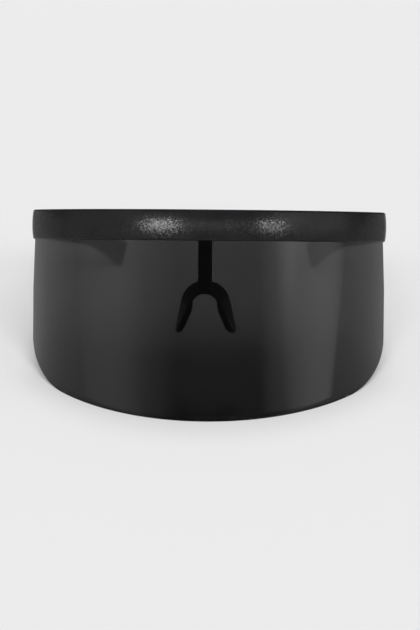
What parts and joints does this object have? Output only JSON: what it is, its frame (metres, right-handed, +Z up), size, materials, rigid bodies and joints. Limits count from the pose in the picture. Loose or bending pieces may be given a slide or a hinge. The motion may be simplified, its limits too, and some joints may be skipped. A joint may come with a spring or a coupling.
{
  "type": "shield sunglasses",
  "caption": "One-piece dark shield lens hung from a thick straight brow bar, with a saddle nose bridge on a stem and folding curved temples.",
  "frame": {"origin": "on the ground, at the middle of the area that the standing glasses cover", "axes": "+X to the wearer's left, +Y backwards from the lens to the temple ends, +Z up from the ground; the glasses stand on the lens's lower edge and the temple ends, leaning back 20.1 degrees"},
  "size_m": [0.15, 0.185, 0.0805],
  "materials": {
    "frame_nylon": "fine sintered grain, matt black",
    "lens_tint": "dark grey tinted, polished",
    "bridge_nylon": "satin black",
    "pad_rubber": "soft matt black",
    "insert_brass": "turned",
    "screw_steel": "plain bright",
    "hinge_steel": "satin"
  },
  "bodies": {
    "front": {"brow_bar": "frame_nylon", "shield_lens": "lens_tint", "lens_inserts": "insert_brass", "lens_screws": "screw_steel", "nose_bridge": "bridge_nylon", "bridge_inserts": "insert_brass", "bridge_screws": "screw_steel", "nose_pad_left": "pad_rubber", "nose_pad_right": "pad_rubber", "front_leaf_left": "hinge_steel", "front_leaf_right": "hinge_steel", "front_leaf_screws_left": "screw_steel", "front_leaf_screws_right": "screw_steel", "hinge_screw_left": "screw_steel", "hinge_screw_right": "screw_steel"},
    "left_arm": {"temple_left": "frame_nylon", "temple_leaf_left": "hinge_steel", "temple_leaf_screws_left": "screw_steel"},
    "right_arm": {"temple_right": "frame_nylon", "temple_leaf_right": "hinge_steel", "temple_leaf_screws_right": "screw_steel"}
  },
  "joints": [
    {"name": "fold_left", "type": "hinge", "parent": "front", "child": "left_arm", "pos_m": [0.0672, -0.01082, 0.05455], "axis": [0, 0.3435, 0.9391], "range_deg": [0, 90]},
    {"name": "fold_right", "type": "hinge", "parent": "front", "child": "right_arm", "pos_m": [-0.0672, -0.01082, 0.05455], "axis": [0, -0.3435, -0.9391], "range_deg": [0, 73]}
  ]
}
